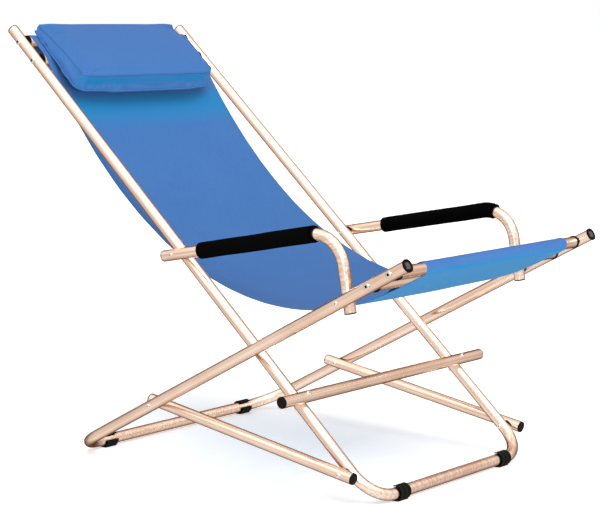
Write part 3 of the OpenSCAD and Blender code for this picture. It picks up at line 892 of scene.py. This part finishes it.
def fastener(name, start, end, kind, heads):
    # a shank from start to end, with a head past each end asked for
    deselect()
    bpy.ops.mesh.primitive_cylinder_add(vertices=24, radius=shanks["radius"], depth=(end - start).length)
    shank = smooth(dressed(named(name), rivetMetal), 40)
    side = Vector((0, 1, 0))
    parts = [placed(shank, facing((start + end) / 2, end - start, side))]
    for place, wanted, way in ((end, heads[1], end - start), (start, heads[0], start - end)):
        if wanted:
            parts.append(copied(kind, "head", facing(place, way, side)))
    return joined(parts, name)


def fasten(name, node, body, spans, kind, heads):
    made = joined([fastener("part", *span, kind, heads) for span in spans], name)
    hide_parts(node)
    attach(made, body)


def bothSides(point, layer):
    inner, outer = shanks[layer]
    return [(at(s * inner, point), at(s * outer, point)) for s in (-1, 1)]


def riveted(name, node, body, spans, heads):
    fasten(name, node, body, spans, rivetHead, heads)


riveted("armRivets", "arm_pivot_rivets", "back", bothSides(armRear, "backInner"), (1, 1))
riveted("linkRivets", "link_pivot_rivets", "back", bothSides(linkFront, "backInner"), (1, 1))
riveted("seatRivets", "seat_pivot_rivets", "seat", bothSides(armFront, "seatOuter"), (1, 1))
riveted("linkRearRivets", "link_rear_rivets", "seat", bothSides(linkRear, "linkRear"), (0, 1))
for side, span in zip(("right", "left"), bothSides(linkRear, "linkStud")):
    riveted("linkStud" + side.capitalize(), "link_stud_" + side, "link_" + side, [span], (1, 0))
middle = sideCentre("stretcher_rivets")
reach = backOut * shanks["stretcherHalf"]
riveted("stretcherRivets", "stretcher_rivets", "back",
        [(at(x, middle - reach), at(x, middle + reach)) for x in (-shanks["stretcherX"], shanks["stretcherX"])], (1, 1))
for name, node, body, bars, layer in (
        ("headBolts", "head_bar_bolts", "back", (headUpper, headLower), "headBolt"),
        ("seatBolts", "seat_bar_bolts", "seat", (seatFront, seatRear), "seatBolt")):
    fasten(name, node, body, [span for bar in bars for span in bothSides(bar, layer)], boltHead, (0, 1))
for spare in (rivetHead, boltHead):
    bpy.data.objects.remove(spare)
print("fasteners made")


# Floor, light and camera

def area(name, place, aim, size, power, colour=(1, 1, 1)):
    light = bpy.data.lights.new(name, "AREA")
    light.shape = "RECTANGLE"
    light.size, light.size_y = size
    light.energy = power
    light.color = colour
    lamp = bpy.data.objects.new(name, light)
    scene.collection.objects.link(lamp)
    lamp.location = place
    lamp.rotation_euler = (Vector(aim) - Vector(place)).to_track_quat("-Z", "Y").to_euler()
    return lamp


studio = {"sun": 1.9, "sunWide": math.radians(50), "sunFrom": Vector((-0.3, -0.55, 1)), "ambient": 0.66,
          "strip": ((-3.4, -2.6, 2.6), (0.5, 3.0), 60),
          "fill": ((-0.6, -3.6, 0.3), (2.0, 1.6), 55), "floorSize": 400}
sunLight = bpy.data.lights.new("sun", "SUN")
sunLight.energy = studio["sun"]
sunLight.angle = studio["sunWide"]
sunLamp = bpy.data.objects.new("sun", sunLight)
scene.collection.objects.link(sunLamp)
sunLamp.rotation_euler = (-studio["sunFrom"]).to_track_quat("-Z", "Y").to_euler()
place, size, power = studio["strip"]
area("strip", place, (0, 0, 0.4), size, power)
place, size, power = studio["fill"]
area("fill", place, (0, 0.2, 0.6), size, power).visible_glossy = False

deselect()
bpy.ops.mesh.primitive_plane_add(size=studio["floorSize"])
floor = named("floor")
floorLook = Finish("floorPaint", Roughness=0.9, Specular_IOR_Level=0.0, Emission_Color=rgb(1, 1, 1),
                   Emission_Strength=0.28)
floorLook.put(Base_Color=floorLook.blend(floorLook.noise(floorLook.coords(), 3, 2.0), rgb(0.93, 0.93, 0.93),
                                         rgb(0.95, 0.95, 0.95)))
dressed(floor, floorLook.material)
floor.visible_glossy = False

# the room: white to the eye, even for the soft light, and for reflections bright above and
# on the camera's side, and warm and dark low down and behind the chair
world = bpy.data.worlds.new("studio")
scene.world = world
world.use_nodes = True


class Room(Finish):
    def __init__(self, tree):
        self.tree = tree


room = Room(world.node_tree)
background = world.node_tree.nodes["Background"]
coords = room.node("ShaderNodeTexCoord", None, None, "Generated")
upwards = Wire(room, room.node("ShaderNodeSeparateXYZ", None, [coords]).socket.node.outputs[2])
towards = room.node("ShaderNodeVectorMath", {"operation": "DOT_PRODUCT"},
                    [coords, Vector((-0.763, -0.633, 0.13))], "Value")
shade = room.node("ShaderNodeValToRGB", {"stops": [
    (0.0, (0.05, 0.025, 0.015)), (1.0, (1.15, 1.08, 1.02)), (0.10, (0.15, 0.08, 0.05)), (0.22, (0.55, 0.40, 0.31)),
    (0.36, (0.90, 0.76, 0.67)), (0.60, (1.1, 1.0, 0.93))]}, [towards * 0.5 + 0.5])
level = upwards.abs().ramp(0.0, 0.30) * 0.2 + upwards.ramp(0.25, 0.75) * 0.5 + 0.76
shade = room.node("ShaderNodeMix", {"data_type": "RGBA", "blend_type": "MULTIPLY"}, {0: 1.0, 6: shade, 7: level}, 2)
path = room.node("ShaderNodeLightPath", None, None, "Is Glossy Ray")
soft = room.node("ShaderNodeLightPath", None, None, "Is Diffuse Ray")
ambient = studio["ambient"]
seen = room.blend(path, rgb(1, 1, 1), shade)
seen = room.blend(soft, seen, rgb(ambient, ambient, ambient))
room.tree.links.new(seen.socket, background.inputs["Color"])
background.inputs["Strength"].default_value = 1.0

camera = {"place": Vector((-2.748, -2.3182, 0.8575)), "azimuth": math.radians(-50.32),
          "elevation": math.radians(7.47), "lens": 108.9, "sensor": 36.0}
cameraData = bpy.data.cameras.new("camera")
cameraObject = bpy.data.objects.new("camera", cameraData)
scene.collection.objects.link(cameraObject)
cameraData.lens = camera["lens"]
cameraData.sensor_width = camera["sensor"]
a, e = camera["azimuth"], camera["elevation"]
away = Vector((math.sin(a) * math.cos(e), -math.cos(a) * math.cos(e), math.sin(e)))
cameraObject.location = camera["place"]
cameraObject.rotation_mode = "QUATERNION"
cameraObject.rotation_quaternion = (-away).to_track_quat("-Z", "Y")
cameraData.clip_start, cameraData.clip_end = 0.05, 100
scene.camera = cameraObject
scene.view_settings.view_transform = "Standard"
print("light and camera set")

# the blue of the cloth would colour every tube
for piece in (slingBack, slingSeat, pillowPiece):
    piece.visible_glossy = False
